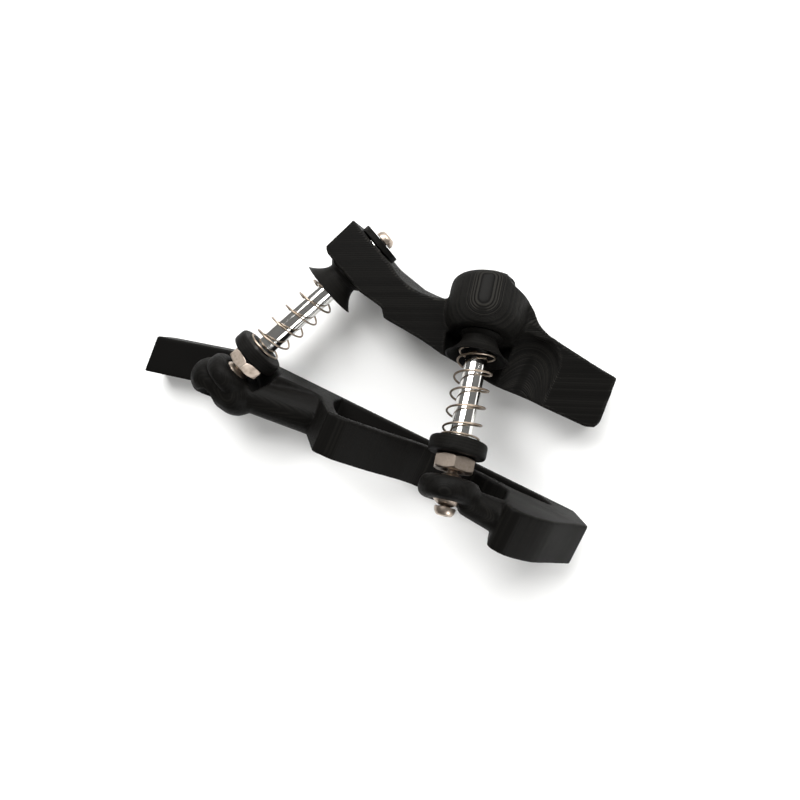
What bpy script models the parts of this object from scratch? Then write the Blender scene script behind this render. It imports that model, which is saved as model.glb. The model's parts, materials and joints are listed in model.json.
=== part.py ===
"""Hand grip strengthener: a finger bar and a palm bar held apart by two sprung, swivelling guide posts.

It lies on the flat backs of both bars: +Z up from them, +X along the finger bar, and +Y from the finger
bar to the palm bar, which is the way it is squeezed. The origin is on the finger bar's flat back.
"""
import bpy
import bmesh
from math import asin, cos, pi, radians, sin, sqrt, tan
from mathutils import Matrix, Vector

MM = 0.001
BEYOND = 20 * MM                # how far a cutter runs on past what it cuts

# fits
CONTACT_GAP = 0.3 * MM          # between faces that touch
RUNNING_GAP = 0.1 * MM          # radial, between a shaft and the hole it is fixed in
SOCKET_GAP = 0.1 * MM           # between a swivel ball and its socket
GUIDE_GAP = 0.45 * MM           # radial, between a rod and the waist it slides through

# the two posts, set out from the centres of their swivel balls
POST_PIVOT = {"left": Vector((-59.5, -0.4, 16.2)) * MM, "right": Vector((14.8, 2.2, 30.0)) * MM}
POST_LEAN = {"left": radians(25.4), "right": radians(-15.2)}     # towards +X
POST_BACK = {"left": radians(5.0), "right": radians(18.7)}       # down towards the bench
CUP_SEAT = {"left": 46.4 * MM, "right": 42.5 * MM}               # lower end of the palm bar's boss
BOSS_TOP = {"left": 58.6 * MM, "right": 57.0 * MM}               # and its upper end
TRAVEL_LEAN = radians(7.5)                                       # how far a rod tips in its waist

ROD_RADIUS = 3.0 * MM
ROD_CHAMFER = 0.3 * MM
THREAD_DEPTH = 0.3 * MM
THREAD_PITCH = 1.0 * MM
STUD_RADIUS = 1.5 * MM
STUD_DEPTH = 8.0 * MM           # of the tapped hole at each end of a rod
STUD_SPARE = 1.0 * MM           # of that hole, past the screw's tip
SCREW_BEVEL = 0.2 * MM
BALL_RADIUS = 4.5 * MM
BALL_LAND = 0.016 * MM          # flat left round the ball's bore at each end
HEAD_RADIUS = 2.8 * MM
HEAD_HEIGHT = 2.2 * MM
SOCKET_RADIUS = 1.25 * MM       # key socket in a screw's head
SOCKET_DEPTH = 1.3 * MM
NUT_START = 4.8 * MM
NUT_HEIGHT = 3.8 * MM
NUT_FLATS = 10.0 * MM
NUT_CROWN = 0.35 * MM
NUT_TURN = {"left": radians(19.0), "right": radians(7.0)}        # about its post
COLLAR_HEIGHT = 4.2 * MM
COLLAR_RADIUS = 7.6 * MM
COLLAR_EDGE = 1.0 * MM
SPRING_RADIUS = 4.85 * MM       # to the middle of the wire
WIRE_RADIUS = 0.3 * MM
SPRING_TURNS = 4.75
END_TURNS = 0.75                # closed turns at each end
END_GAP = 0.2 * MM              # between closed turns
CUP_LENGTH = 6.5 * MM
CUP_RIM_RADIUS = 8.65 * MM
CUP_WAIST_RADIUS = 4.85 * MM
CUP_LIP = 0.5 * MM
CUP_SEAT_DEPTH = 2.3 * MM       # from the rim to where the spring sits
CUP_WAIST_DROP = 1.0 * MM       # from the cup's shoulder down to its waist
CUP_SHOULDER = 0.7 * MM         # how far the shoulder stands out from the spigot
CUP_FLARE = 1.9                 # how suddenly the bell opens to its rim
SPIGOT_RADIUS = 5.3 * MM
SPIGOT_LENGTH = 6.0 * MM
WASHER_RADIUS = 6.3 * MM
WASHER_HEIGHT = 1.5 * MM
WASHER_BEVEL = 0.3 * MM

# finger bar
BAR_HEIGHT = 12.0 * MM          # both bars' size along the squeeze, Y
WALL = 2.7 * MM
WINDOW_LEFT = -28.6 * MM
BAR_LEFT = -62.0 * MM           # where the slab takes over
BAR_RIGHT = 52.0 * MM
HOOK_HEEL = 3.5 * MM            # that the hook's right end slants back by
HOOK_FRONT = 32.2 * MM
SLAB_ROOT = Vector((-62.5, 0.2, 0.0)) * MM
SLAB_LENGTH = 29.5 * MM
SLAB_LAP = 4.0 * MM             # into the rest of the bar
SLAB_DEPTH = 10.0 * MM
SLAB_DROOP = radians(14.0)
RING_RADIUS = 8.0 * MM
RING_HEIGHT = 4 / 3 * BALL_RADIUS    # the ball stands out of its ring at both ends
RING_EDGE = 2.2 * MM
HEAD_ROOM_RADIUS = 4.0 * MM     # of the opening that a swivel screw's head swings in
ARM_START = Vector((5.5, -0.8, -0.4)) * MM          # from the right swivel
ARM_END = Vector((33.5, 0.6, HOOK_FRONT / MM - 7.5)) * MM
ARM_RADIUS = 3.6 * MM
ARM_END_RADIUS = 5.0 * MM
NOSE_START = Vector((-6.5, -3.4, -1.6)) * MM        # from the left swivel
NOSE_END = Vector((4.0, -4.4, -0.6)) * MM
NOSE_RADIUS = 6.4 * MM
NECK_START = Vector((6.0, -3.0, -2.0)) * MM
NECK_END = Vector((-31.5, -0.6, 12.5)) * MM
NECK_RADIUS = 5.4 * MM
NECK_END_RADIUS = 6.0 * MM
NUT_ROOM_RADIUS = 9.4 * MM      # cleared round the left nut and collar
NUT_ROOM_FLOOR = 0.05 * MM      # over the ring's face

# palm bar
PALM_THICK_LEFT = 19.0 * MM     # over the left swivel
PALM_THICK_RIGHT = 13.5 * MM    # at the finger bar's right end
PALM_END = 8.2 * MM             # from the left post's axis to the bar's left end
SPOT_MARGIN = 0.4 * MM          # of a boss's spot-face round its stop washer
CUP_ROOM = 1.0 * MM             # round a spring cup's rim
DRUM_RADIUS = 10.9 * MM
DRUM_EDGE = 2.4 * MM            # rounding of its upper edge
DRUM_BOWL = 7.0 * MM            # height of its bowl-shaped underside
DRUM_NECK_RADIUS = 6.0 * MM
DRUM_FOOT = 1.0 * MM            # that it starts below the cup's seat, and is cut back to it
DRUM_CROWN = 0.5 * MM           # that it ends over the washer's seat, and is cut back to it
SHOULDER_DROP = 0.3 * MM        # of the shoulder beside the drum, under the bar's front
SHOULDER_FOOT = 46.5 * MM
SHOULDER_INSET = 2.0 * MM       # of its foot under the drum
SHOULDER_LIFT = 0.5 * MM        # of its underside over the bench
SHOULDER_TRIM = 0.1 * MM        # left outside its flank
SCOOP_START = 20.0 * MM
SCOOP_END = 49.0 * MM
SADDLE_CENTRE = Vector((-15.5, 66.2, 0.0)) * MM     # of the hollow for the thumb's root
SADDLE_RADIUS = 19.0 * MM
SADDLE_TILT = radians(7.0)
SCOOP_CENTRE = Vector((19.0, 0.0, 19.5)) * MM       # of the hollow beside the right boss
SCOOP_RADIUS = 9.0 * MM


def clear_scene():
    for old in list(bpy.data.objects):
        bpy.data.objects.remove(old)


def make_material(name, colour, roughness, metallic):
    material = bpy.data.materials.new(name)
    material.use_nodes = True
    shader = material.node_tree.nodes["Principled BSDF"]
    shader.inputs["Base Color"].default_value = (*colour, 1.0)
    shader.inputs["Roughness"].default_value = roughness
    shader.inputs["Metallic"].default_value = metallic
    return material


def add_object(name, bm, material=None):
    """Closes a mesh, turns its faces outwards and puts it in the scene."""
    bmesh.ops.remove_doubles(bm, verts=bm.verts, dist=0.002 * MM)
    bmesh.ops.recalc_face_normals(bm, faces=bm.faces)
    mesh = bpy.data.meshes.new(name)
    bm.to_mesh(mesh)
    bm.free()
    mesh.shade_smooth()
    mesh.set_sharp_from_angle(angle=radians(35))
    if material:
        mesh.materials.append(material)
    obj = bpy.data.objects.new(name, mesh)
    bpy.context.collection.objects.link(obj)
    return obj


def boolean(obj, tool, operation):
    """Adds a tool to an object, or cuts it away, with a live modifier."""
    tool.hide_render = True
    tool.display_type = "WIRE"
    modifier = obj.modifiers.new(tool.name, "BOOLEAN")
    modifier.operation = operation
    modifier.solver = "EXACT"
    modifier.object = tool


def turned(name, profile, segments, material=None):
    """A solid turned about Z from a closed profile of (radius, height) points."""
    bm = bmesh.new()
    rings = []
    for radius, height in profile:
        if radius < 1e-7:
            rings.append([bm.verts.new((0.0, 0.0, height))])
            continue
        angles = [2 * pi * i / segments for i in range(segments)]
        rings.append([bm.verts.new((radius * cos(a), radius * sin(a), height)) for a in angles])
    for ring, following in zip(rings, rings[1:] + rings[:1]):
        for i in range(segments):
            j = (i + 1) % segments
            corners = [ring[i % len(ring)], ring[j % len(ring)]]
            corners += [following[j % len(following)], following[i % len(following)]]
            unique = list(dict.fromkeys(corners))
            if len(unique) > 2:
                bm.faces.new(unique)
    return add_object(name, bm, material)


def prism(name, outline, plane, low, high, material=None):
    """An outline in the XY or XZ plane, extruded; low and high are heights or functions of a point."""
    bm = bmesh.new()
    ends = []
    for level in (low, high):
        points = []
        for x, other in outline:
            height = level(x, other) if callable(level) else level
            points.append(bm.verts.new((x, other, height) if plane == "XY" else (x, height, other)))
        ends.append(points)
    count = len(outline)
    for i in range(count):
        j = (i + 1) % count
        bm.faces.new((ends[0][i], ends[0][j], ends[1][j], ends[1][i]))
    bm.faces.new(ends[0])
    bm.faces.new(ends[1])
    return add_object(name, bm, material)


def smooth_run(points, steps):
    """Points on a Catmull-Rom curve through the given points, both ends included."""
    padded = [points[0]] + list(points) + [points[-1]]
    run = []
    for a, b, c, d in zip(padded, padded[1:], padded[2:], padded[3:]):
        for i in range(steps):
            t = i / steps
            run.append(tuple(
                0.5 * (2 * b[k] + (c[k] - a[k]) * t + (2 * a[k] - 5 * b[k] + 4 * c[k] - d[k]) * t * t
                       + (3 * b[k] - a[k] - 3 * c[k] + d[k]) * t ** 3)
                for k in range(len(b))))
    run.append(tuple(points[-1]))
    return run


def millimetres(points):
    return [tuple(value * MM for value in point) for point in points]


def edge_arc(radius, centre_r, centre_h, start, end, steps=3):
    """Points of a rounded edge in a turned profile."""
    angles = [radians(start + (end - start) * i / steps) for i in range(steps + 1)]
    return [(centre_r + radius * cos(a), centre_h + radius * sin(a)) for a in angles]


def capsule(name, start, end, start_radius, end_radius, segments=20):
    """A rod with round ends between two points, tapering from one radius to the other."""
    axis = end - start
    length = axis.length
    profile = [(0.0, -start_radius)]
    profile += edge_arc(start_radius, 0.0, 0.0, -70, 0, 4)
    profile += edge_arc(end_radius, 0.0, length, 0, 70, 4)
    profile.append((0.0, length + end_radius))
    obj = turned(name, profile, segments)
    obj.matrix_world = Matrix.Translation(start) @ axis.to_track_quat("Z", "Y").to_matrix().to_4x4()
    return obj


def post_direction(side):
    lean = POST_LEAN[side]
    back = POST_BACK[side]
    return Vector((sin(lean) * cos(back), cos(lean) * cos(back), -sin(back)))


def post_matrix(side):
    """A post's own frame: its origin at the swivel ball's centre and its Z along the rod."""
    turn = post_direction(side).to_track_quat("Z", "Y").to_matrix().to_4x4()
    return Matrix.Translation(POST_PIVOT[side]) @ turn


# pieces of one post, each turned about the rod's axis and placed by the post's frame

def rod_span(side):
    """Where a rod starts and ends along its post."""
    return NUT_START + CONTACT_GAP, BOSS_TOP[side]


def collar_span():
    start = NUT_START + NUT_HEIGHT + CONTACT_GAP
    return start, start + COLLAR_HEIGHT


def make_rod(side, material):
    start, end = rod_span(side)
    hole = STUD_RADIUS + RUNNING_GAP
    root = ROD_RADIUS - THREAD_DEPTH
    thread_end = NUT_START + NUT_HEIGHT + CONTACT_GAP
    profile = [(hole, start + STUD_DEPTH), (hole, start)]
    turns = int((thread_end - start) / THREAD_PITCH)
    for turn in range(turns):
        low = start + turn * THREAD_PITCH
        profile.append((root - THREAD_DEPTH, low + 0.1 * THREAD_PITCH))
        profile.append((root, low + 0.5 * THREAD_PITCH))
    profile.append((root - THREAD_DEPTH, thread_end - ROD_CHAMFER))
    profile.append((ROD_RADIUS, thread_end))
    profile.append((ROD_RADIUS, end - ROD_CHAMFER))
    profile.append((ROD_RADIUS - ROD_CHAMFER, end))
    profile += [(hole, end), (hole, end - STUD_DEPTH)]
    profile += [(0.0, end - STUD_DEPTH), (0.0, start + STUD_DEPTH)]
    return turned(side + "_guide_rod", profile, 24, material)


def ball_flat():
    """How far the ball's flat ends are from its centre."""
    return sqrt(BALL_RADIUS ** 2 - (STUD_RADIUS + RUNNING_GAP + BALL_LAND) ** 2)


def make_ball(side, material):
    bore = STUD_RADIUS + RUNNING_GAP
    flat = ball_flat()
    tilt = asin(flat / BALL_RADIUS)
    steps = 8
    profile = [(bore, flat), (bore, -flat)]
    for i in range(steps + 1):
        angle = -tilt + 2 * tilt * i / steps
        profile.append((BALL_RADIUS * cos(angle), BALL_RADIUS * sin(angle)))
    return turned(side + "_swivel_ball", profile, 20, material)


def make_screw(name, head_face, direction, shank, material):
    """A button-head screw: its head stands on head_face and its shank runs along direction."""
    profile = [(0.0, shank), (STUD_RADIUS - SCREW_BEVEL, shank), (STUD_RADIUS, shank - SCREW_BEVEL)]
    profile += [(STUD_RADIUS, 0.0), (HEAD_RADIUS, 0.0)]
    dome = 5
    for i in range(1, dome + 1):
        angle = 0.5 * pi * i / (dome + 0.8)
        radius = SOCKET_RADIUS + (HEAD_RADIUS - SOCKET_RADIUS) * cos(angle)
        profile.append((radius, -HEAD_HEIGHT * sin(angle)))
    profile += [(SOCKET_RADIUS, -HEAD_HEIGHT), (SOCKET_RADIUS, SOCKET_DEPTH - HEAD_HEIGHT)]
    profile.append((0.0, SOCKET_DEPTH - HEAD_HEIGHT))
    placed = [(radius, head_face + direction * height) for radius, height in profile]
    return turned(name, placed, 16, material)


def make_nut(side, material):
    """A hexagon with its corners turned off to a cone."""
    bore = ROD_RADIUS - THREAD_DEPTH + RUNNING_GAP
    low, high = NUT_START, NUT_START + NUT_HEIGHT
    bm = bmesh.new()
    sides = 24
    rings = []
    for level, face in ((low, True), (low + NUT_CROWN, False), (high - NUT_CROWN, False), (high, True)):
        ring = []
        for i in range(sides):
            angle = 2 * pi * i / sides
            fold = (angle + pi / 6) % (pi / 3) - pi / 6
            radius = NUT_FLATS / 2 if face else NUT_FLATS / 2 / cos(fold)
            placed = angle + NUT_TURN[side]
            ring.append(bm.verts.new((radius * cos(placed), radius * sin(placed), level)))
        rings.append(ring)
    for level in (high, low):
        angles = [2 * pi * i / sides + NUT_TURN[side] for i in range(sides)]
        rings.append([bm.verts.new((bore * cos(a), bore * sin(a), level)) for a in angles])
    for ring, following in zip(rings, rings[1:] + rings[:1]):
        for i in range(sides):
            j = (i + 1) % sides
            bm.faces.new((ring[i], ring[j], following[j], following[i]))
    return add_object(side + "_jam_nut", bm, material)


def make_collar(side, material):
    low, high = collar_span()
    bore = ROD_RADIUS + RUNNING_GAP
    profile = [(bore, high), (bore, low)]
    profile += edge_arc(COLLAR_EDGE, COLLAR_RADIUS - COLLAR_EDGE, low + COLLAR_EDGE, -90, 0)
    profile += edge_arc(COLLAR_EDGE, COLLAR_RADIUS - COLLAR_EDGE, high - COLLAR_EDGE, 0, 90)
    return turned(side + "_spring_collar", profile, 32, material)


def cup_rim(side):
    return CUP_SEAT[side] - CONTACT_GAP - CUP_LENGTH


def waist_height(side):
    """Where a rod pivots in its spring cup."""
    return cup_rim(side) + CUP_LENGTH - CUP_WAIST_DROP


def bore_radius(side, height):
    """The hourglass bore's radius: a waist that opens both ways, so that the rod can tip."""
    return ROD_RADIUS + GUIDE_GAP + abs(height - waist_height(side)) * tan(TRAVEL_LEAN)


def make_cup(side, material):
    rim = cup_rim(side)
    waist = waist_height(side)
    shoulder = rim + CUP_LENGTH
    top = shoulder + CONTACT_GAP + SPIGOT_LENGTH
    floor = rim + CUP_SEAT_DEPTH
    profile = [(bore_radius(side, top), top), (bore_radius(side, waist), waist)]
    profile.append((bore_radius(side, floor), floor))
    profile.append((SPRING_RADIUS + 3 * WIRE_RADIUS, floor))
    profile.append((CUP_RIM_RADIUS - CUP_LIP, rim))
    flare = 6
    for i in range(flare + 1):
        share = i / flare
        radius = CUP_WAIST_RADIUS + (CUP_RIM_RADIUS - CUP_WAIST_RADIUS) * (1 - share) ** CUP_FLARE
        profile.append((radius, rim + share * (waist - rim)))
    profile.append((SPIGOT_RADIUS + CUP_SHOULDER, shoulder))
    profile.append((SPIGOT_RADIUS, shoulder))
    profile.append((SPIGOT_RADIUS, top))
    return turned(side + "_spring_cup", profile, 32, material)


def make_spring(side, material):
    """A round wire wound right-handed round the rod, with closed turns at both ends."""
    low = collar_span()[1] + CONTACT_GAP + WIRE_RADIUS
    high = cup_rim(side) + CUP_SEAT_DEPTH - CONTACT_GAP - WIRE_RADIUS
    closed = END_TURNS * (2 * WIRE_RADIUS + END_GAP)
    turns = SPRING_TURNS + 2 * END_TURNS
    per_turn = 14
    count = int(turns * per_turn)
    sides = 6
    bm = bmesh.new()
    rings = []
    for i in range(count + 1):
        turn = turns * i / count
        if turn < END_TURNS:
            height = low + closed * turn / END_TURNS
        elif turn > turns - END_TURNS:
            height = high - closed * (turns - turn) / END_TURNS
        else:
            share = (turn - END_TURNS) / SPRING_TURNS
            height = low + closed + share * (high - low - 2 * closed)
        angle = 2 * pi * turn
        outward = Vector((cos(angle), sin(angle), 0.0))
        centre = outward * SPRING_RADIUS + Vector((0.0, 0.0, height))
        ring = []
        for k in range(sides):
            around = 2 * pi * k / sides
            offset = outward * cos(around) + Vector((0.0, 0.0, sin(around)))
            ring.append(bm.verts.new(centre + offset * WIRE_RADIUS))
        rings.append(ring)
    for ring, following in zip(rings, rings[1:]):
        for k in range(sides):
            n = (k + 1) % sides
            bm.faces.new((ring[k], ring[n], following[n], following[k]))
    bm.faces.new(rings[0])
    bm.faces.new(rings[-1])
    return add_object(side + "_spring", bm, material)


def make_washer(side, material):
    low = rod_span(side)[1] + CONTACT_GAP
    high = low + WASHER_HEIGHT
    bore = STUD_RADIUS + RUNNING_GAP
    profile = [(bore, high), (bore, low), (WASHER_RADIUS - WASHER_BEVEL, low)]
    profile += [(WASHER_RADIUS, low + WASHER_BEVEL), (WASHER_RADIUS, high - WASHER_BEVEL)]
    profile.append((WASHER_RADIUS - WASHER_BEVEL, high))
    return turned(side + "_stop_washer", profile, 28, material)


def make_post(side, black, chrome, steel, spring_steel):
    ball_end = -ball_flat() - CONTACT_GAP
    rod_start, rod_end = rod_span(side)
    washer_top = rod_end + CONTACT_GAP + WASHER_HEIGHT + CONTACT_GAP
    lower_shank = rod_start + STUD_DEPTH - STUD_SPARE - ball_end
    upper_shank = washer_top - rod_end + STUD_DEPTH - STUD_SPARE
    pieces = [
        make_rod(side, chrome),
        make_ball(side, steel),
        make_screw(side + "_swivel_screw", ball_end, 1, lower_shank, steel),
        make_nut(side, steel),
        make_collar(side, black),
        make_spring(side, spring_steel),
        make_cup(side, black),
        make_washer(side, black),
        make_screw(side + "_top_screw", washer_top, -1, upper_shank, steel),
    ]
    for piece in pieces:
        piece.matrix_world = post_matrix(side)


# the two printed bars

def finger_front():
    """The finger bar's front outline, as (x, z): the window's bowed wall, then the hook on the right."""
    corner = millimetres([(-31.6, 14.5), (-23.4, 27.9), (-22.6, 28.2)])
    bowed = corner + smooth_run(millimetres([
        (-17.5, 27.3), (-8.5, 21.2), (2.0, 12.8), (9.5, 11.5), (19.0, 12.6), (25.5, 13.6)]), 4)
    hook = smooth_run([
        (29.0 * MM, HOOK_FRONT - 1.5 * MM), (30.6 * MM, HOOK_FRONT), (34.5 * MM, HOOK_FRONT - 0.3 * MM),
        (40.8 * MM, HOOK_FRONT - 5.2 * MM), (46.0 * MM, HOOK_FRONT - 12.5 * MM),
        (BAR_RIGHT, HOOK_FRONT - 21.0 * MM)], 4)
    return bowed + [(28.3 * MM, 15.5 * MM)] + hook


def window_outline():
    """The window between the straight back wall and the bowed front wall, as (x, z)."""
    front = smooth_run([
        (WINDOW_LEFT, WALL), (WINDOW_LEFT + 0.6 * MM, 12.0 * MM), (WINDOW_LEFT + 6.8 * MM, 27.2 * MM - WALL),
        (WINDOW_LEFT + 10.5 * MM, 27.0 * MM - WALL), (-10.0 * MM, 21.0 * MM - WALL),
        (1.0 * MM, 12.4 * MM - WALL), (9.5 * MM, 11.5 * MM - WALL), (19.0 * MM, 12.2 * MM - WALL),
        (30.0 * MM, 13.0 * MM - WALL)], 4)
    tip = millimetres([(40.0, 8.2), (41.2, 6.6)])
    return front + tip + [(38.0 * MM, WALL)]


def slab_outline():
    """The slab slants down from its root and is cut off square to the bar, as (x, y)."""
    half = BAR_HEIGHT / 2 / cos(SLAB_DROOP)
    drop = SLAB_LENGTH * tan(SLAB_DROOP)
    rise = SLAB_LAP * tan(SLAB_DROOP)
    return [(-SLAB_LENGTH, -drop - half), (SLAB_LAP, rise - half),
            (SLAB_LAP, rise + half), (-SLAB_LENGTH, -drop + half)]


def make_ring(side):
    half = RING_HEIGHT / 2
    inner = RING_RADIUS - RING_EDGE
    profile = [(0.0, half), (0.0, -half)]
    profile += edge_arc(RING_EDGE, inner, -half + RING_EDGE, -90, 0)
    profile += edge_arc(RING_EDGE, inner, half - RING_EDGE, 0, 90)
    ring = turned(side + "_ring_form", profile, 28)
    ring.matrix_world = post_matrix(side)
    return ring


def make_socket(side):
    """The cutter for a swivel ball's socket, with the openings that the screw leans in."""
    reach = BALL_RADIUS + SOCKET_GAP
    tilt = asin(RING_HEIGHT / 2 / reach)
    steps = 6
    profile = [(0.0, -2 * RING_HEIGHT), (HEAD_ROOM_RADIUS, -2 * RING_HEIGHT)]
    for i in range(steps + 1):
        angle = -tilt + 2 * tilt * i / steps
        profile.append((reach * cos(angle), reach * sin(angle)))
    profile += [(HEAD_ROOM_RADIUS, 2 * RING_HEIGHT), (0.0, 2 * RING_HEIGHT)]
    cutter = turned(side + "_socket_cutter", profile, 24)
    cutter.matrix_world = post_matrix(side)
    return cutter


def make_finger_bar(material):
    half = BAR_HEIGHT / 2
    back = [(BAR_RIGHT - HOOK_HEEL, 0.0), (BAR_LEFT, 0.0), (BAR_LEFT, SLAB_DEPTH)]
    arm = smooth_run(millimetres([(-50.0, 17.0), (-43.0, 14.5), (-37.0, 13.5), (-34.0, 13.2)]), 3)
    outline = finger_front() + back + [(-55.0 * MM, 14.0 * MM)] + arm
    body = prism("finger_bar", outline, "XZ", -half, half, material)

    slab = prism("slab_form", slab_outline(), "XY", 0.0, SLAB_DEPTH)
    slab.location = SLAB_ROOT
    boolean(body, slab, "UNION")

    pivot = POST_PIVOT["left"]
    nose = capsule("nose_form", pivot + NOSE_START, pivot + NOSE_END, NOSE_RADIUS, NOSE_RADIUS)
    boolean(body, nose, "UNION")
    neck = capsule("neck_form", pivot + NECK_START, NECK_END, NECK_RADIUS, NECK_END_RADIUS)
    boolean(body, neck, "UNION")
    boolean(body, make_ring("left"), "UNION")

    pivot = POST_PIVOT["right"]
    arm = capsule("arm_form", pivot + ARM_START, ARM_END, ARM_RADIUS, ARM_END_RADIUS)
    boolean(body, arm, "UNION")
    boolean(body, make_ring("right"), "UNION")

    window = prism("window_cutter", window_outline(), "XZ", -BAR_HEIGHT, BAR_HEIGHT)
    boolean(body, window, "DIFFERENCE")
    floor = RING_HEIGHT / 2 + NUT_ROOM_FLOOR
    room = turned("nut_room_cutter", [(0.0, floor), (NUT_ROOM_RADIUS, floor),
                                      (NUT_ROOM_RADIUS, 5 * RING_HEIGHT), (0.0, 5 * RING_HEIGHT)], 40)
    room.matrix_world = post_matrix("left")
    boolean(body, room, "DIFFERENCE")
    for side in ("right", "left"):
        boolean(body, make_socket(side), "DIFFERENCE")
    return body


def palm_outline():
    """The palm bar seen from the front, as (x, y): square to the left post, then along the finger bar."""
    along = post_direction("left")
    across = Vector((along.y, -along.x, 0.0)).normalized()
    pivot = POST_PIVOT["left"]
    top = BOSS_TOP["left"]
    seat = CUP_SEAT["left"]
    placed = [(top, -PALM_END), (top, 7.0 * MM)]
    upper = [tuple((pivot + along * height + across * offset)[:2]) for height, offset in placed]
    upper += smooth_run(millimetres([(-18.5, 46.8), (-13.0, 46.6), (-6.0, 46.6), (14.0, 49.5), (23.0, 47.9),
                                     (35.5, 45.9), (41.0, 45.3)]), 3)
    lower = smooth_run(millimetres([(39.2, 30.2), (23.3, 30.2), (12.0, 29.9), (-0.8, 31.4), (-10.7, 33.2),
                                    (-22.8, 34.4)]), 3)
    step = [(-24.4 * MM, 36.8 * MM)]
    placed = [(seat, 6.0 * MM), (seat, -5.6 * MM), (seat + 1.4 * MM, -PALM_END)]
    inner = [tuple((pivot + along * height + across * offset)[:2]) for height, offset in placed]
    return upper + millimetres([(42.2, 32.8), (41.4, 31.0)]) + lower + step + inner


def palm_thickness(x, _y):
    """The bar is thickest at the left boss and thins towards the right end."""
    left = POST_PIVOT["left"].x
    right = BAR_RIGHT
    share = (x - left) / (right - left)
    return PALM_THICK_LEFT + (PALM_THICK_RIGHT - PALM_THICK_LEFT) * share


def shoulder_flank():
    """Where the drum's right side falls away to the bar's far edge, as (x, y)."""
    return smooth_run(millimetres([(4.5, 57.6), (7.0, 56.2), (10.6, 55.0), (13.9, 52.9), (16.9, 50.0),
                                   (20.7, 48.1)]), 4)


def shoulder_top(x, y):
    return palm_thickness(x, y) - SHOULDER_DROP


def make_drum():
    """The right boss: a drum round the post with a bowl-shaped underside down to the spring cup."""
    lower = CUP_SEAT["right"] - DRUM_FOOT
    upper = BOSS_TOP["right"] + DRUM_CROWN
    bowl = lower + DRUM_BOWL
    profile = [(0.0, upper), (0.0, lower)]
    steps = 8
    for i in range(steps + 1):
        angle = pi / 2 * (i / steps - 1)
        radius = DRUM_NECK_RADIUS + (DRUM_RADIUS - DRUM_NECK_RADIUS) * cos(angle)
        profile.append((radius, bowl + DRUM_BOWL * sin(angle)))
    profile += edge_arc(DRUM_EDGE, DRUM_RADIUS - DRUM_EDGE, upper - DRUM_EDGE, 0, 90, 5)
    drum = turned("drum_form", profile, 44)
    drum.matrix_world = post_matrix("right")
    return drum


def make_palm_bar(material):
    body = prism("palm_bar", palm_outline(), "XY", 0.0, palm_thickness, material)

    saddle = turned("saddle_cutter", [(0.0, -BEYOND), (SADDLE_RADIUS, -BEYOND),
                                      (SADDLE_RADIUS, 2 * BEYOND), (0.0, 2 * BEYOND)], 60)
    saddle.matrix_world = Matrix.Translation(SADDLE_CENTRE) @ Matrix.Rotation(SADDLE_TILT, 4, "X")
    boolean(body, saddle, "DIFFERENCE")
    profile = [(0.0, SCOOP_START), (SCOOP_RADIUS, SCOOP_START)]
    profile += edge_arc(SCOOP_RADIUS, 0.0, SCOOP_END - SCOOP_RADIUS, 0, 80, 8)
    profile.append((0.0, SCOOP_END))
    scoop = turned("scoop_cutter", profile, 48)
    scoop.matrix_world = Matrix.Translation(SCOOP_CENTRE) @ Matrix.Rotation(radians(-90), 4, "X")
    boolean(body, scoop, "DIFFERENCE")

    flank = shoulder_flank()
    foot = [(flank[-1][0], SHOULDER_FOOT), (flank[0][0] + SHOULDER_INSET, SHOULDER_FOOT)]
    shoulder = prism("shoulder_form", flank + foot, "XY", SHOULDER_LIFT, shoulder_top)
    boolean(body, shoulder, "UNION")
    boolean(body, make_drum(), "UNION")
    outside = [(x + SHOULDER_TRIM, y + SHOULDER_TRIM) for x, y in flank]
    outside.append((flank[-1][0] + BEYOND, flank[-1][1]))
    outside.append((flank[-1][0] + BEYOND, flank[0][1] + BEYOND))
    outside.append((flank[0][0], flank[0][1] + BEYOND))
    trim = prism("shoulder_cutter", outside, "XY", -BEYOND, 3 * BEYOND)
    boolean(body, trim, "DIFFERENCE")

    for side in POST_PIVOT:
        seat = CUP_SEAT[side]
        room = SPIGOT_RADIUS + RUNNING_GAP
        depth = seat + SPIGOT_LENGTH + CONTACT_GAP
        clear = CUP_RIM_RADIUS + CUP_ROOM
        profile = [(0.0, seat - BEYOND), (clear, seat - BEYOND), (clear, seat), (room, seat)]
        top = BOSS_TOP[side]
        outer = WASHER_RADIUS + SPOT_MARGIN
        profile += [(room, depth), (bore_radius(side, depth), depth), (bore_radius(side, top), top)]
        profile += [(outer, top), (outer, top + BEYOND), (0.0, top + BEYOND)]
        bore = turned(side + "_bore_cutter", profile, 32)
        bore.matrix_world = post_matrix(side)
        boolean(body, bore, "DIFFERENCE")
    return body


clear_scene()
black_print = make_material("black_print", (0.012, 0.012, 0.011), 0.55, 0.0)
chrome_plate = make_material("chrome_plate", (0.75, 0.74, 0.72), 0.12, 1.0)
bright_steel = make_material("bright_steel", (0.46, 0.385, 0.325), 0.3, 1.0)
spring_wire = make_material("spring_wire", (0.30, 0.24, 0.19), 0.3, 1.0)
make_finger_bar(black_print)
make_palm_bar(black_print)
for post_side in POST_PIVOT:
    make_post(post_side, black_print, chrome_plate, bright_steel, spring_wire)
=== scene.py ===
"""Hand grip strengthener: two printed bars held apart by two sprung guide posts."""

import json
from math import asin, cos, hypot, pi, radians, sin, sqrt, tan

import bmesh
import bpy
import numpy as np
from mathutils import Matrix, Vector


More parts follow.
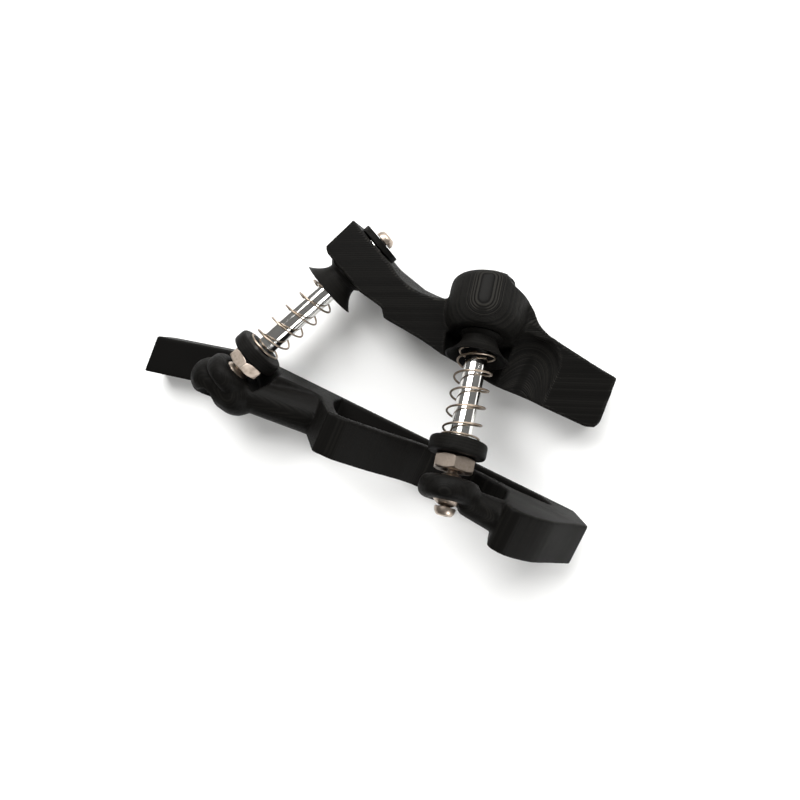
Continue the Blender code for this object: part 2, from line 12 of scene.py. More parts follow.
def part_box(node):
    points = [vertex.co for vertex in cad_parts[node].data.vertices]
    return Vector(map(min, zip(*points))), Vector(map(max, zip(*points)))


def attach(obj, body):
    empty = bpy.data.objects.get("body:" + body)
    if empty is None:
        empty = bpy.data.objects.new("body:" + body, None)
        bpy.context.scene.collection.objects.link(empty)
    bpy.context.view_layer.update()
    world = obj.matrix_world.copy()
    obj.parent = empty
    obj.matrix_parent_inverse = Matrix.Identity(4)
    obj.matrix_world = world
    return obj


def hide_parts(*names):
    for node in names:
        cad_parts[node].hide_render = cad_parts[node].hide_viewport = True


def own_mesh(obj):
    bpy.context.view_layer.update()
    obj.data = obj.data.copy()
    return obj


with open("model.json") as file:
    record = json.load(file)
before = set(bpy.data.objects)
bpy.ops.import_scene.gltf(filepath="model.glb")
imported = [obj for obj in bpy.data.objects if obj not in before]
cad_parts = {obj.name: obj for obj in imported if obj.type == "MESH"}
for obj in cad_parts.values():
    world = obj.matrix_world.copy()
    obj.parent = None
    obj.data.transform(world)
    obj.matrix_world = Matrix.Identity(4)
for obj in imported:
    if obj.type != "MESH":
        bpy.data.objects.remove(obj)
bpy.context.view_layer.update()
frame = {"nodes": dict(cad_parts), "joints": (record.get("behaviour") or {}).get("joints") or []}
MM = 0.001


# ---------------------------------------------------------------- finger bar
# The finger bar is one piece of black plastic, printed lying on its flat back in 0.2 mm layers.
# It carries the window, the hook and both ring lugs. Its edges are softened by the nozzle's round bead and
# painted a little paler, partly as wear where a hand rubs them and partly as a painted highlight; each
# layer's crest carries a faint painted highlight too.

PRINT_BLACK = (0.0030, 0.0028, 0.0025, 1.0)
# A paler colour painted on each layer bead's crest: a painted highlight.
PRINT_CREST_HIGHLIGHT = (0.015, 0.014, 0.012, 1.0)
# Outer edges are painted this paler colour, partly as wear and partly as a painted highlight.
PRINT_WORN_EDGE_HIGHLIGHT = (0.042, 0.036, 0.028, 1.0)
PRINT_GLOSS = 0.05
PRINT_ROUGHNESS = 0.36
PRINT_LAYER = 0.2 * MM
PRINT_WANDER = 0.12 * PRINT_LAYER   # of the bead, up and down
PRINT_RELIEF = 0.11 * MM
PRINT_GRAIN = 1500.0            # scale of the plastic's fine grain
PRINT_PATCHES = 95.0            # and of the broad patches where its edges are worn and painted highlit more or less
LEVEL_RANGE = (0.985, 0.9995)   # how level a face is as its layer lines fade out
GROOVE_RANGE = (0.0, 0.5)       # of the bead's height, from groove to none
CREST_RANGE = (0.4, 1.0)        # of the bead's height, from none to a crest with a painted highlight
EDGE_PALING_RANGE = (0.10, 0.45)        # how sharp an edge is as its wear and painted highlight start
EDGE_PALING_PATCHES = (0.35, 0.65)
BAR_SKIN = 0.45 * MM            # how finely a bar's surface is drawn
BAR_SOFTENING = 6
BAR_STACKED = Vector((0.0, 0.0, 1.0))       # the way its layers were stacked
BAR_LINES = 0.3                 # how plain to see they are


class Socket:
    """A socket in a node tree. Sums written with it add Math nodes to that tree."""

    def __init__(self, tree, socket=None):
        self.tree = tree
        self.socket = socket

    def node(self, kind, settings=None, values=None, output=0):
        """Adds a node, its settings first, then the value or link of each of its sockets."""
        made = self.tree.nodes.new(kind)
        for name, value in (settings or {}).items():
            setattr(made, name, value)
        for name, value in (values or {}).items():
            if isinstance(value, Socket):
                self.tree.links.new(value.socket, made.inputs[name])
            else:
                made.inputs[name].default_value = value
        return Socket(self.tree, made.outputs[output])

    def maths(self, operation, first, second=0.0):
        return self.node("ShaderNodeMath", {"operation": operation}, {0: first, 1: second})

    def __add__(self, other):
        return self.maths("ADD", self, other)

    def __radd__(self, other):
        return self.maths("ADD", other, self)

    def __sub__(self, other):
        return self.maths("SUBTRACT", self, other)

    def __rsub__(self, other):
        return self.maths("SUBTRACT", other, self)

    def __mul__(self, other):
        return self.maths("MULTIPLY", self, other)

    def __rmul__(self, other):
        return self.maths("MULTIPLY", other, self)

    def __truediv__(self, other):
        return self.maths("DIVIDE", self, other)

    def mottle(self, scale, detail=2.0):
        """Soft noise over the place that this socket holds."""
        return self.node("ShaderNodeTexNoise", {}, {"Vector": self, "Scale": scale, "Detail": detail})

    def ramp(self, low, high):
        """0 below low, 1 above high, and a smooth rise between them."""
        return self.node("ShaderNodeMapRange", {"interpolation_type": "SMOOTHSTEP"},
                         {"Value": self, "From Min": low, "From Max": high})

    def tint(self, first, second):
        """A colour that goes from the first to the second as this socket goes from 0 to 1."""
        return self.node("ShaderNodeMix", {"data_type": "RGBA"}, {0: self, 6: first, 7: second}, 2)

    def relief(self, depth):
        """A normal for a surface raised by this socket times a depth."""
        return self.node("ShaderNodeBump", {}, {"Strength": 1.0, "Distance": depth, "Height": self})


def new_finish(name, metallic=0.0, gloss=0.5):
    """A material, the start of its node sums and a way to link its shader's sockets."""
    material = bpy.data.materials.new(name)
    material.use_nodes = True
    shader = material.node_tree.nodes["Principled BSDF"]
    shader.inputs["Metallic"].default_value = metallic
    shader.inputs["Specular IOR Level"].default_value = gloss

    def feed(**links):
        for socket, source in links.items():
            material.node_tree.links.new(source.socket, shader.inputs[socket.replace("_", " ")])

    return material, Socket(material.node_tree), feed


def make_black_print():
    material, start, feed = new_finish("black_print", gloss=PRINT_GLOSS)
    place = start.node("ShaderNodeTexCoord", output="Object")
    grain = place.mottle(PRINT_GRAIN, 3.0)
    patches = place.mottle(PRINT_PATCHES)
    height = start.node("ShaderNodeAttribute", {"attribute_name": "print_height"}, output="Fac")
    layers = (height + grain * PRINT_WANDER) / PRINT_LAYER
    across = 2.0 * layers.maths("FRACT", layers) - 1.0
    bead = 1.0 - across * across
    which = layers.maths("FLOOR", layers)
    uneven = which.node("ShaderNodeTexWhiteNoise", {"noise_dimensions": "1D"}, {"W": which})
    up = start.node("ShaderNodeTexCoord", output="Normal")
    level = up.node("ShaderNodeSeparateXYZ", {}, {0: up}, "Z")
    steep = 1.0 - 0.8 * level.maths("ABSOLUTE", level).ramp(*LEVEL_RANGE)
    lines = steep * start.node("ShaderNodeAttribute", {"attribute_name": "print_lines"}, output="Fac")
    surface = bead * (0.55 + 0.45 * uneven) * lines + 0.22 * grain
    groove = (1.0 - bead.ramp(*GROOVE_RANGE)) * lines
    edge = start.node("ShaderNodeAttribute", {"attribute_name": "edge"}, output="Fac")
    # Sharp outer edges are painted paler: partly wear, partly a painted highlight.
    tint_share = edge.ramp(*EDGE_PALING_RANGE) * (0.35 + 0.65 * patches.ramp(*EDGE_PALING_PATCHES))
    # Each layer bead's crest is painted paler, a painted highlight.
    crest_highlighted = (bead.ramp(*CREST_RANGE) * uneven * lines).tint(PRINT_BLACK, PRINT_CREST_HIGHLIGHT)
    feed(Base_Color=tint_share.tint(crest_highlighted, PRINT_WORN_EDGE_HIGHLIGHT),
         Roughness=PRINT_ROUGHNESS + 0.14 * patches + 0.12 * uneven + 0.3 * groove - 0.06 * tint_share,
         Normal=surface.relief(PRINT_RELIEF))
    return material


def mark_edges(mesh):
    """Keeps how far each point stands proud of its neighbours, for wear and a painted highlight on outer
    edges.
    """
    count = len(mesh.vertices)
    points = np.empty(count * 3)
    mesh.vertices.foreach_get("co", points)
    points = points.reshape(-1, 3)
    normals = np.empty(count * 3)
    mesh.vertices.foreach_get("normal", normals)
    normals = normals.reshape(-1, 3)
    ends = np.empty(len(mesh.edges) * 2, int)
    mesh.edges.foreach_get("vertices", ends)
    first, second = ends.reshape(-1, 2).T
    total = np.zeros((count, 3))
    spread = np.zeros(count)
    valence = np.zeros(count)
    for here, there in ((first, second), (second, first)):
        np.add.at(total, here, points[there])
        np.add.at(spread, here, np.linalg.norm(points[there] - points[here], axis=1))
        np.add.at(valence, here, 1)
    proud = ((points * valence[:, None] - total) * normals).sum(1) / spread
    mesh.attributes.new("edge", "FLOAT", "POINT").data.foreach_set("value", proud.astype(np.float32))


def mark_layers(mesh, heights, lines):
    """Keeps each point's height in the print, and how plain to see the layer lines are."""
    mesh.attributes.new("print_height", "FLOAT", "POINT").data.foreach_set("value", heights)
    mesh.attributes.new("print_lines", "FLOAT", "POINT").data.foreach_set("value", [lines] * len(heights))


def show(name, mesh, material, slot, body, *nodes):
    """Puts a finished mesh in the scene in place of its CAD nodes, riding on its body."""
    mesh.materials.clear()
    mesh.materials.append(material)
    piece = bpy.data.objects.new(name, mesh)
    bpy.context.scene.collection.objects.link(piece)
    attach(piece, body)
    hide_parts(*nodes)
    return piece


def printed_bar(node, stacked, lines):
    """A CAD bar drawn as one continuous skin, with blended joins and softened edges."""
    merged = bmesh.new()
    merged.from_mesh(frame["nodes"][node].data)
    bmesh.ops.remove_doubles(merged, verts=merged.verts, dist=0.001 * MM)
    rough = bpy.data.meshes.new(node + "_rough")
    merged.to_mesh(rough)
    merged.free()
    holder = bpy.data.objects.new(node + "_rough", rough)
    bpy.context.scene.collection.objects.link(holder)
    skin = holder.modifiers.new("skin", "REMESH")
    skin.mode = "VOXEL"
    skin.voxel_size = BAR_SKIN
    soften = holder.modifiers.new("soften", "SMOOTH")
    soften.factor = 0.5
    soften.iterations = BAR_SOFTENING
    evaluated = holder.evaluated_get(bpy.context.evaluated_depsgraph_get())
    mesh = bpy.data.meshes.new_from_object(evaluated)
    bpy.data.objects.remove(holder)
    mesh.shade_smooth()
    mark_edges(mesh)
    mark_layers(mesh, [vertex.co.dot(stacked) for vertex in mesh.vertices], lines)
    return mesh


black_print = make_black_print()
show("finger_bar_print", printed_bar("finger_bar", BAR_STACKED, BAR_LINES), black_print, "black_print",
     "finger_bar_body", "finger_bar")


# ------------------------------------------------------------------ palm bar
# The palm bar is the same plastic, printed tipped so that its drum-shaped boss lay level: the
# layers run straight along the drum. It has a cup socket and a stop washer's seat at each post.

PALM_STACKED = Vector((-0.084, 0.309, 0.947))
PALM_LINES = 1.0

show("palm_bar_print", printed_bar("palm_bar", PALM_STACKED, PALM_LINES), black_print, "black_print",
     "palm_bar_body", "palm_bar")


# ---------------------------------------------------------------- guide rods
# Each guide rod is 6 mm ground and chrome-plated steel, tapped M3 at both ends, with a small
# chamfer. The spring and the cup's waist rub faint rings round it as it slides.

CHROME = (0.80, 0.79, 0.765, 1.0)
CHROME_RUBBED = (0.56, 0.53, 0.49, 1.0)
CHROME_ROUGHNESS = 0.07
CHROME_RELIEF = 0.004 * MM
CHROME_RINGS = 2600.0           # scale of the rubbed rings along the rod
CHROME_SMEARS = 260.0           # and of the smears round it
CHROME_RING_RANGE = (0.52, 0.72)
CHROME_SMEAR_RANGE = (0.40, 0.70)
ROD_CHAMFER = 0.35 * MM
ROD_SEGMENTS = 96
FOLD_ANGLE = radians(32)        # corners sharper than this stay crisp
EASE_SHARE = 0.45               # of an edge's length that its rounding may take
SIDES = ("left", "right")


def post_frame(side):
    """A post's own frame: its origin at the swivel ball's centre and its Z along the rod."""
    ball = sum(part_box(side + "_swivel_ball"), Vector()) / 2
    washer = sum(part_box(side + "_stop_washer"), Vector()) / 2
    turn = (washer - ball).to_track_quat("Z", "Y").to_matrix().to_4x4()
    return Matrix.Translation(ball) @ turn


def along_post(side, piece):
    """A piece's lower end, upper end and largest radius in its post's own frame."""
    back = post_frame(side).inverted()
    points = [back @ v.co for v in frame["nodes"][side + "_" + piece].data.vertices]
    heights = [p.z for p in points]
    return min(heights), max(heights), max(hypot(p.x, p.y) for p in points)


def turned(name, profile, side, segments=72, turn=0.0):
    """A closed profile of (radius, height) turned about a post. A third value in a row is half
    a hexagon's width over its flats: it cuts that row to a hexagon. The turn swings them all."""
    shape = bmesh.new()
    local = shape.verts.layers.float_vector.new("post_place")
    matrix = post_frame(side)
    rings = []
    for radius, height, *flats in profile:
        ring = []
        for i in range(segments if radius > 0.0 else 1):
            angle = 2 * pi * i / segments
            reach = radius
            if flats:
                fold = (angle + pi / 6) % (pi / 3) - pi / 6
                reach = min(radius, flats[0] / cos(fold))
            point = Vector((reach * cos(angle + turn), reach * sin(angle + turn), height))
            vertex = shape.verts.new(matrix @ point)
            vertex[local] = point
            ring.append(vertex)
        rings.append(ring)
    for ring, following in zip(rings, rings[1:] + rings[:1]):
        for i in range(segments):
            j = (i + 1) % segments
            corners = [ring[i % len(ring)], ring[j % len(ring)],
                       following[j % len(following)], following[i % len(following)]]
            unique = list(dict.fromkeys(corners))
            if len(unique) > 2:
                shape.faces.new(unique)
    bmesh.ops.recalc_face_normals(shape, faces=shape.faces)
    mesh = bpy.data.meshes.new(name)
    shape.to_mesh(mesh)
    shape.free()
    mesh.shade_smooth()
    mesh.set_sharp_from_angle(angle=FOLD_ANGLE)
    return mesh


def eased(profile, radius, steps=4):
    """A closed (radius, height) profile with its corners rounded off the axis."""
    rounded = []
    for before, corner, after in zip(profile[-1:] + profile[:-1], profile, profile[1:] + profile[:1]):
        if corner[0] == 0.0:
            rounded.append(corner)
            continue
        middle = Vector(corner)
        backward = Vector(before) - middle
        forward = Vector(after) - middle
        reach = min(radius, EASE_SHARE * backward.length, EASE_SHARE * forward.length)
        start = middle + backward.normalized() * reach
        end = middle + forward.normalized() * reach
        for i in range(steps + 1):
            t = i / steps
            point = start * (1 - t) ** 2 + middle * (2 * t * (1 - t)) + end * t ** 2
            rounded.append((point.x, point.y))
    return rounded


def make_chrome():
    material, start, feed = new_finish("chrome_plate", metallic=1.0)
    place = start.node("ShaderNodeAttribute", {"attribute_name": "post_place"}, output="Vector")
    height = place.node("ShaderNodeSeparateXYZ", {}, {0: place}, "Z")
    rings = height.node("ShaderNodeTexNoise", {"noise_dimensions": "1D"},
                        {"W": height, "Scale": CHROME_RINGS})
    smears = place.mottle(CHROME_SMEARS, 3.0)
    tint_share = rings.ramp(*CHROME_RING_RANGE) * smears.ramp(*CHROME_SMEAR_RANGE)
    feed(Base_Color=tint_share.tint(CHROME, CHROME_RUBBED),
         Roughness=CHROME_ROUGHNESS + 0.14 * tint_share + 0.05 * smears,
         Normal=(rings * 0.6 + smears * 0.4).relief(CHROME_RELIEF))
    return material


chrome_plate = make_chrome()
for side in SIDES:
    low, high, radius = along_post(side, "guide_rod")
    outline = [(0.0, low), (radius, low), (radius, high), (0.0, high)]
    mesh = turned(side + "_rod", eased(outline, ROD_CHAMFER), side, ROD_SEGMENTS)
    show(side + "_rod", mesh, chrome_plate, "chrome_plate", side + "_post_body", side + "_guide_rod")


# ------------------------------------------------------------- swivel balls
# Each post stands on a drilled steel ball, flat at both ends, snapped into its ring lug. It lets
# the post lean any way. It is turned steel, a little tarnished, and only its two caps show.

STEEL = (0.40, 0.335, 0.28, 1.0)
STEEL_DULL = (0.20, 0.165, 0.135, 1.0)
STEEL_ROUGHNESS = 0.30
STEEL_RELIEF = 0.010 * MM
TOOL_MARKS = 5200.0             # scale of the turning marks along the post
TARNISH = 420.0                 # and of the tarnished patches
TARNISH_RANGE = (0.42, 0.72)
BALL_BORE_SHARE = 0.57          # of the screw head's radius
BALL_STEPS = 33


def make_steel():
    material, start, feed = new_finish("bright_steel", metallic=1.0)
    place = start.node("ShaderNodeAttribute", {"attribute_name": "post_place"}, output="Vector")
    height = place.node("ShaderNodeSeparateXYZ", {}, {0: place}, "Z")
    tool_marks = height.node("ShaderNodeTexNoise", {"noise_dimensions": "1D"},
                             {"W": height, "Scale": TOOL_MARKS})
    tarnish = place.mottle(TARNISH, 4.0)
    dull = tarnish.ramp(*TARNISH_RANGE)
    feed(Base_Color=dull.tint(STEEL, STEEL_DULL),
         Roughness=STEEL_ROUGHNESS + 0.18 * dull + 0.06 * tool_marks,
         Normal=(tool_marks * 0.5 + tarnish * 0.5).relief(STEEL_RELIEF))
    return material


bright_steel = make_steel()
for side in SIDES:
    low, high, radius = along_post(side, "swivel_ball")
    tilt = asin(high / radius)
    bore = along_post(side, "swivel_screw")[2] * BALL_BORE_SHARE
    outline = [(bore, high), (bore, low)]
    outline += [(radius * cos(a), radius * sin(a)) for a in np.linspace(-tilt, tilt, BALL_STEPS).tolist()]
    mesh = turned(side + "_ball", outline, side)
    show(side + "_ball", mesh, bright_steel, "bright_steel", side + "_post_body", side + "_swivel_ball")


# ------------------------------------------------------- swivel and top screws
# M3 button-head screws, plain steel: one comes up through each ball into its rod, and one holds
# each stop washer on the rod's far end. Heads are domed with a hexagon socket for the key.

SCREW_HEAD = 2.2 * MM
SCREW_SHANK = 1.5 * MM
SCREW_KEY = 1.0 * MM            # half the key's width over its flats
SCREW_KEY_DEPTH = 1.3 * MM
SCREW_KEY_CORNER = 1.25 * SCREW_KEY     # beyond the key hole's own corners
SCREW_KEY_MOUTH = 1.35 * SCREW_KEY
SCREW_KEY_MOUTH_FLATS = 1.06 * SCREW_KEY
SCREW_KEY_BEVEL = 0.12 * MM
SCREW_KEY_POINT = 0.25 * MM     # that the drill went deeper than the key hole
SCREW_RIM = 0.45 * MM           # from the key hole to where the dome starts
SCREW_EDGE = 0.15 * MM
DOME_START = 0.08               # of half a turn, where the dome leaves the head's side
DOME_STEPS = 9
SCREW_PITCH = 0.5 * MM
SCREW_THREAD = 0.22 * MM
THREAD_START = 0.3              # of the pitch, to the first groove
THREAD_RISE, THREAD_FALL = 0.4, 0.6     # of the pitch, the crest's two corners


def button_screw(name, side, tip, crown, radius):
    """A screw along a post, from its shank's tip to its head's crown."""
    way = 1 if crown > tip else -1
    face = crown - way * SCREW_HEAD
    floor = crown - way * SCREW_KEY_DEPTH
    root = SCREW_SHANK - SCREW_THREAD
    outline = [(0.0, tip), (root, tip)]
    for turn in range(int(abs(face - tip) / SCREW_PITCH - 1.0)):
        start = tip + way * (THREAD_START + turn) * SCREW_PITCH
        outline.append((root, start))
        outline.append((SCREW_SHANK, start + way * THREAD_RISE * SCREW_PITCH))
        outline.append((SCREW_SHANK, start + way * THREAD_FALL * SCREW_PITCH))
    outline += [(root, face), (radius - SCREW_EDGE, face), (radius, face + way * SCREW_EDGE)]
    rim = SCREW_KEY + SCREW_RIM
    for angle in np.linspace(DOME_START, 0.5, DOME_STEPS).tolist():
        outline.append((rim + (radius - rim) * cos(angle * pi), face + way * SCREW_HEAD * sin(angle * pi)))
    outline.append((SCREW_KEY_MOUTH, crown, SCREW_KEY_MOUTH_FLATS))
    outline.append((SCREW_KEY_CORNER, crown - way * SCREW_KEY_BEVEL, SCREW_KEY))
    outline.append((SCREW_KEY_CORNER, floor, SCREW_KEY))
    outline.append((0.0, floor - way * SCREW_KEY_POINT))
    return turned(name, outline, side)


for side in SIDES:
    low, high, radius = along_post(side, "swivel_screw")
    mesh = button_screw(side + "_lower_screw", side, high, low, radius)
    show(side + "_lower_screw", mesh, bright_steel, "bright_steel", side + "_post_body",
         side + "_swivel_screw")
    low, high, radius = along_post(side, "top_screw")
    mesh = button_screw(side + "_upper_screw", side, low, high, radius)
    show(side + "_upper_screw", mesh, bright_steel, "bright_steel", side + "_post_body", side + "_top_screw")


# ------------------------------------------------------------------ jam nuts
# A 10 mm hexagon nut on each rod's threaded foot keeps the spring collar up. Its corners are
# turned off at both faces, which leaves the curved crowns on the flats.

NUT_TURN = {"left": radians(19.0), "right": radians(7.0)}
NUT_BORE = 2.85 * MM
NUT_COUNTERSINK = 0.35 * MM
NUT_FACE_SHARE = 0.95           # the bearing face's share of the width over the flats
NUT_CROWN_SLOPE = tan(radians(30))
NUT_STEPS = 6
NUT_SEGMENTS = 144


def nut_outline(low, high, corner):
    flats = corner * sqrt(3) / 2
    face = flats * NUT_FACE_SHARE
    crown = (corner - face) * NUT_CROWN_SLOPE
    outline = [(NUT_BORE + NUT_COUNTERSINK, low), (face, low, flats)]
    steps = [i / NUT_STEPS for i in range(1, NUT_STEPS + 1)]
    outline += [(face + (corner - face) * s, low + crown * s, flats) for s in steps]
    outline += [(face + (corner - face) * s, high - crown * s, flats) for s in reversed(steps)]
    outline += [(face, high, flats), (NUT_BORE + NUT_COUNTERSINK, high)]
    return outline + [(NUT_BORE, high - NUT_COUNTERSINK), (NUT_BORE, low + NUT_COUNTERSINK)]


for side in SIDES:
    low, high, corner = along_post(side, "jam_nut")
    mesh = turned(side + "_nut", nut_outline(low, high, corner), side, NUT_SEGMENTS, NUT_TURN[side])
    show(side + "_nut", mesh, bright_steel, "bright_steel", side + "_post_body", side + "_jam_nut")


# ------------------------------------------------- spring collars and washers
# Black printed rings on each rod: a thick round-edged collar that the spring pushes on, and a
# thin stop washer at the far end that keeps the palm bar from coming off.

COLLAR_EDGE = 1.1 * MM
WASHER_EDGE = 0.3 * MM
RING_CLEARANCE = 0.1 * MM       # round the rod or the screw
RING_LINES = 0.5                # how plain to see the layer lines are on rings and cups
WASHER_BEDDING = 0.3 * MM       # how far the washer's lower face reaches down onto its boss


def mark_turned_layers(mesh):
    """A ring or cup printed standing on its end, so its layers are stacked along the post."""
    places = mesh.attributes["post_place"].data
    mark_layers(mesh, [place.vector.z for place in places], RING_LINES)


def printed_ring(side, piece, bore, edge, bedding=0.0):
    low, high, radius = along_post(side, piece)
    low -= bedding
    outline = [(bore, low), (radius, low), (radius, high), (bore, high)]
    mesh = turned(side + "_" + piece, eased(outline, edge, 6), side, ROD_SEGMENTS)
    mark_edges(mesh)
    mark_turned_layers(mesh)
    return mesh


for side in SIDES:
    rod = along_post(side, "guide_rod")[2]
    mesh = printed_ring(side, "spring_collar", rod + RING_CLEARANCE, COLLAR_EDGE)
    show(side + "_collar", mesh, black_print, "black_print", side + "_post_body",
         side + "_spring_collar")
    mesh = printed_ring(side, "stop_washer", SCREW_SHANK + RING_CLEARANCE, WASHER_EDGE, WASHER_BEDDING)
    show(side + "_washer", mesh, black_print, "black_print", side + "_post_body", side + "_stop_washer")


# --------------------------------------------------------------- spring cups
# A black printed bell is pressed into the palm bar at each post. The spring's top end sits inside
# the flared mouth, and the rod slides through a waist that lets it lean.

CUP_LENGTH = 6.5 * MM
CUP_NECK = 4.85 * MM
CUP_SPIGOT = 5.3 * MM
CUP_MOUTH_DEPTH = 2.3 * MM
CUP_LIP = 0.5 * MM
CUP_RIM_EDGE = 0.1 * MM
CUP_FLARE = 1.9                 # how suddenly the bell opens
CUP_FLARE_START = 0.05          # of its height, over the rim
CUP_STEPS = 16
CUP_SHOULDER = 0.7 * MM         # that the shoulder stands out from the spigot
CUP_WAIST_DROP = 1.0 * MM       # from the shoulder down to the bore's waist
CUP_WAIST = 3.45 * MM
CUP_BORE_SLOPE = tan(radians(7.5))
CUP_SPRING_SEAT = 5.75 * MM


def cup_outline(rim, top, radius):
    waist = rim + CUP_LENGTH - CUP_WAIST_DROP
    seat = rim + CUP_MOUTH_DEPTH
    outline = [(CUP_WAIST + (top - waist) * CUP_BORE_SLOPE, top), (CUP_WAIST, waist)]
    outline.append((CUP_WAIST + (waist - seat) * CUP_BORE_SLOPE, seat))
    outline += [(CUP_SPRING_SEAT, seat), (radius - CUP_LIP, rim), (radius, rim + CUP_RIM_EDGE)]
    for share in np.linspace(CUP_FLARE_START, 1.0, CUP_STEPS).tolist():
        flare = CUP_NECK + (radius - CUP_NECK) * (1 - share) ** CUP_FLARE
        outline.append((flare, rim + share * (waist - rim)))
    shoulder = rim + CUP_LENGTH
    return outline + [(CUP_SPIGOT + CUP_SHOULDER, shoulder), (CUP_SPIGOT, shoulder), (CUP_SPIGOT, top)]


for side in SIDES:
    rim, top, radius = along_post(side, "spring_cup")
    mesh = turned(side + "_cup", cup_outline(rim, top, radius), side, ROD_SEGMENTS)
    mark_turned_layers(mesh)
    show(side + "_cup", mesh, black_print, "black_print", "palm_bar_body", side + "_spring_cup")


# ------------------------------------------------------------------- springs
# Each compression spring is 0.6 mm drawn steel wire wound right-handed round its rod, with a closed turn at
# each end. It sits between its collar and its cup, which squeeze it as the palm bar comes in; here it is
# drawn at one fixed length.

SPRING_WIRE = 0.3 * MM          # the wire's radius
SPRING_COIL = 4.85 * MM         # to the middle of the wire
SPRING_OPEN_TURNS = 4.75
SPRING_CLOSED_TURNS = 0.75
SPRING_CLOSED_PITCH = 0.8 * MM
SPRING_BEDDING = 0.45 * MM      # the end coil's rise when the post leans in its cup
WIRE_BROWN = (0.20, 0.155, 0.115, 1.0)
WIRE_PALE = (0.40, 0.33, 0.265, 1.0)
WIRE_ROUGHNESS = 0.24
WIRE_RELIEF = 0.008 * MM
WIRE_TEMPER = 340.0             # scale of the tempered patches
WIRE_GRAIN = 2600.0             # and of the drawn grain
WIRE_TEMPER_RANGE = (0.35, 0.70)
WIRE_POINTS = 420
WIRE_SIDES = 14


def make_spring_wire():
    material, start, feed = new_finish("spring_wire", metallic=1.0)
    place = start.node("ShaderNodeTexCoord", output="Object")
    temper = place.mottle(WIRE_TEMPER, 3.0)
    drawn = place.mottle(WIRE_GRAIN)
    feed(Base_Color=temper.ramp(*WIRE_TEMPER_RANGE).tint(WIRE_BROWN, WIRE_PALE),
         Roughness=WIRE_ROUGHNESS + 0.20 * drawn,
         Normal=drawn.relief(WIRE_RELIEF))
    return material


def wound_spring_tree():
    """A wire that climbs slowly for its closed end turns and evenly for the open ones."""
    tree = bpy.data.node_groups.new("wound_spring", "GeometryNodeTree")
    tree.interface.new_socket("Geometry", in_out="OUTPUT", socket_type="NodeSocketGeometry")
    for name in ("Lower End", "Upper End", "Coil Radius", "Wire Radius",
                 "Open Turns", "Closed Turns", "Closed Pitch"):
        tree.interface.new_socket(name, in_out="INPUT", socket_type="NodeSocketFloat")
    tree.interface.new_socket("Finish", in_out="INPUT", socket_type="NodeSocketMaterial")
    inputs = tree.nodes.new("NodeGroupInput")
    size = {socket.name: Socket(tree, socket) for socket in inputs.outputs if socket.name}
    start = Socket(tree)
    line = start.node("GeometryNodeCurvePrimitiveLine")
    wire = start.node("GeometryNodeResampleCurve", {}, {"Curve": line, "Count": WIRE_POINTS})
    along = start.node("GeometryNodeSplineParameter", output="Factor")
    open_turns, closed_turns = size["Open Turns"], size["Closed Turns"]
    turn = along * (open_turns + 2.0 * closed_turns)
    low = size["Lower End"] + size["Wire Radius"]
    high = size["Upper End"] - size["Wire Radius"]
    closed = closed_turns * size["Closed Pitch"]

    def climb(begin, turns, rise):
        return start.node("ShaderNodeMapRange", {}, {"Value": turn, "From Min": begin,
                                                     "From Max": begin + turns, "To Max": rise})

    height = low + climb(0.0 * turn, closed_turns, closed)
    height = height + climb(closed_turns, open_turns, high - low - 2.0 * closed)
    height = height + climb(closed_turns + open_turns, closed_turns, closed)
    angle = turn * (2 * pi)
    point = start.node("ShaderNodeCombineXYZ", {}, {
        0: size["Coil Radius"] * angle.maths("COSINE", angle),
        1: size["Coil Radius"] * angle.maths("SINE", angle),
        2: height})
    placed = start.node("GeometryNodeSetPosition", {}, {"Geometry": wire, "Position": point})
    round_wire = start.node("GeometryNodeCurvePrimitiveCircle", {},
                            {"Resolution": WIRE_SIDES, "Radius": size["Wire Radius"]})
    drawn = start.node("GeometryNodeCurveToMesh", {},
                       {"Curve": placed, "Profile Curve": round_wire, "Fill Caps": True})
    real = start.node("GeometryNodeRealizeInstances", {}, {"Geometry": drawn})
    finished = start.node("GeometryNodeSetMaterial", {}, {"Geometry": real, "Material": size["Finish"]})
    output = tree.nodes.new("NodeGroupOutput")
    tree.links.new(finished.socket, output.inputs["Geometry"])
    return tree


def wound_spring(name, tree, finish, sizes):
    holder = bpy.data.objects.new(name + "_holder", bpy.data.meshes.new(name + "_holder"))
    bpy.context.scene.collection.objects.link(holder)
    winding = holder.modifiers.new("winding", "NODES")
    winding.node_group = tree
    for item in tree.interface.items_tree:
        if item.in_out == "INPUT":
            winding[item.identifier] = finish if item.name == "Finish" else sizes[item.name]
    evaluated = holder.evaluated_get(bpy.context.evaluated_depsgraph_get())
    mesh = bpy.data.meshes.new_from_object(evaluated)
    bpy.data.objects.remove(holder)
    mesh.shade_smooth()
    return mesh


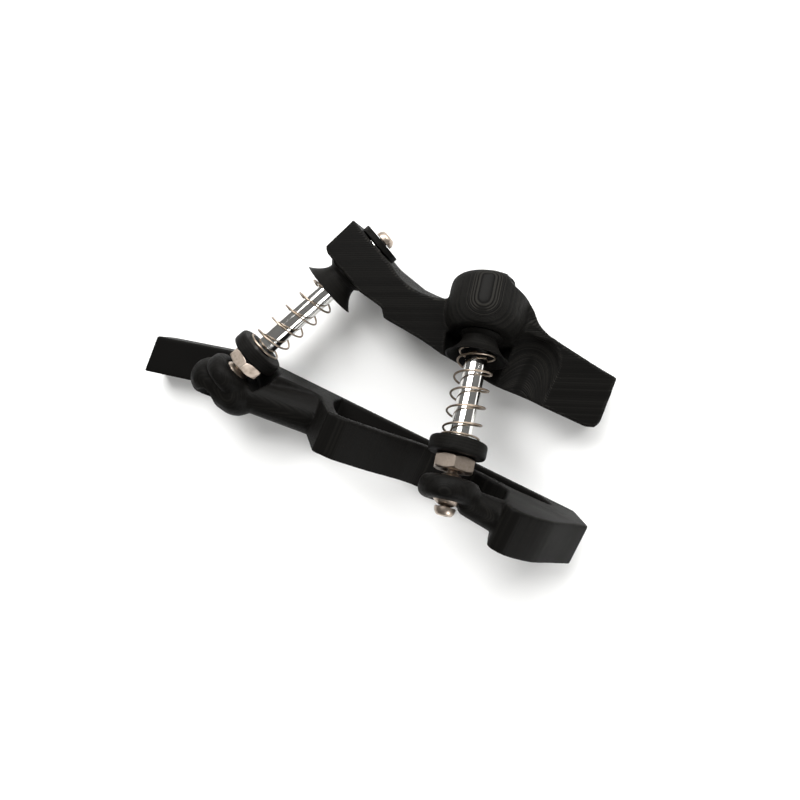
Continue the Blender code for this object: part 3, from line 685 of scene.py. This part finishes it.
spring_wire = make_spring_wire()
spring_tree = wound_spring_tree()
squeeze = next(joint for joint in frame["joints"] if joint["name"] == "palm_squeeze")
for side in SIDES:
    low, high, _ = along_post(side, "spring")
    mesh = wound_spring(side + "_wire", spring_tree, spring_wire, {
        "Lower End": low, "Upper End": high, "Coil Radius": SPRING_COIL, "Wire Radius": SPRING_WIRE,
        "Open Turns": SPRING_OPEN_TURNS, "Closed Turns": SPRING_CLOSED_TURNS,
        "Closed Pitch": SPRING_CLOSED_PITCH})
    matrix = post_frame(side)
    mesh.transform(matrix)
    piece = show(side + "_wire", mesh, spring_wire, "spring_wire", side + "_post_body", side + "_spring")
    post = (matrix @ Vector((0.0, 0.0, 1.0)) - matrix.translation).normalized()
    waist = along_post(side, "spring_cup")[0] + CUP_LENGTH - CUP_WAIST_DROP
    down, aside = waist * post.y, waist * hypot(post.x, post.z)
    taken = waist - hypot(aside, down - squeeze["range_m"][1])
    matrix @ Vector((0.0, 0.0, low))
    1 - (taken + SPRING_BEDDING) / (high - low)
    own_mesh(piece)


# ---------------------------------------------------- bench, light and camera
# A pale matt bench under soft studio lamps: a broad one beyond the palm bar on the left, a lower
# one in front on the right, and a strip behind that draws the bars' far edges.

BENCH_DROP = 0.05 * MM
BENCH_SIZE = 4.0
BENCH_PALE = (0.90, 0.90, 0.89, 1.0)
BENCH_PALER = (0.93, 0.93, 0.92, 1.0)
BENCH_ROUGHNESS = 0.80
BENCH_PATCHES = 6.0
STUDIO_AIR = (1.0, 0.99, 0.97, 1.0)
STUDIO_STRENGTH = 0.19
LAMP_AIM = Vector((0.0, 0.02, 0.01))
CAMERA_SPOT = Vector((23.5, 39.2, 177.2)) * MM
CAMERA_AIM = Vector((-12.3, 13.1, 0.0)) * MM
CAMERA_TURN = radians(24.56)
CAMERA_LENS = 26.55
CAMERA_SENSOR = 36.0
CAMERA_NEAR = 1.0 * MM

bench_mesh = bpy.data.meshes.new("bench")
half = BENCH_SIZE / 2
bench_mesh.from_pydata([(-half, -half, -BENCH_DROP), (half, -half, -BENCH_DROP),
                        (half, half, -BENCH_DROP), (-half, half, -BENCH_DROP)], [], [(0, 1, 2, 3)])
bench_finish, bench_start, bench_feed = new_finish("bench_white")
bench_place = bench_start.node("ShaderNodeTexCoord", output="Object")
bench_tone = bench_place.mottle(BENCH_PATCHES)
bench_feed(Base_Color=bench_tone.tint(BENCH_PALE, BENCH_PALER),
           Roughness=BENCH_ROUGHNESS + 0.1 * bench_tone)
bench_mesh.materials.append(bench_finish)
bench = bpy.data.objects.new("bench", bench_mesh)
bpy.context.scene.collection.objects.link(bench)

world = bpy.data.worlds.new("studio")
world.use_nodes = True
world.node_tree.nodes["Background"].inputs["Color"].default_value = STUDIO_AIR
world.node_tree.nodes["Background"].inputs["Strength"].default_value = STUDIO_STRENGTH
bpy.context.scene.world = world
bpy.context.scene.view_settings.view_transform = "Standard"


def lamp(name, spot, width, height, power):
    light = bpy.data.lights.new(name, "AREA")
    light.shape = "RECTANGLE"
    light.size, light.size_y = width, height
    light.energy = power
    obj = bpy.data.objects.new(name, light)
    bpy.context.scene.collection.objects.link(obj)
    obj.location = spot
    obj.rotation_euler = (LAMP_AIM - Vector(spot)).to_track_quat("-Z", "Y").to_euler()


lamp("key_lamp", (-0.30, 0.42, 0.55), 0.55, 0.55, 9.0)
lamp("side_lamp", (0.45, -0.25, 0.30), 0.25, 0.35, 2.2)
lamp("back_strip", (0.10, 0.60, 0.30), 0.60, 0.15, 4.0)

camera_data = bpy.data.cameras.new("camera")
camera_data.sensor_width = CAMERA_SENSOR
camera_data.lens = CAMERA_LENS
camera_data.clip_start = CAMERA_NEAR
camera = bpy.data.objects.new("camera", camera_data)
bpy.context.scene.collection.objects.link(camera)
toward = (CAMERA_SPOT - CAMERA_AIM).normalized()
upward = Vector((-sin(CAMERA_TURN), cos(CAMERA_TURN), 0.0))
rightward = upward.cross(toward).normalized()
facing = Matrix((rightward, toward.cross(rightward), toward)).transposed().to_4x4()
camera.matrix_world = Matrix.Translation(CAMERA_SPOT) @ facing
bpy.context.scene.camera = camera
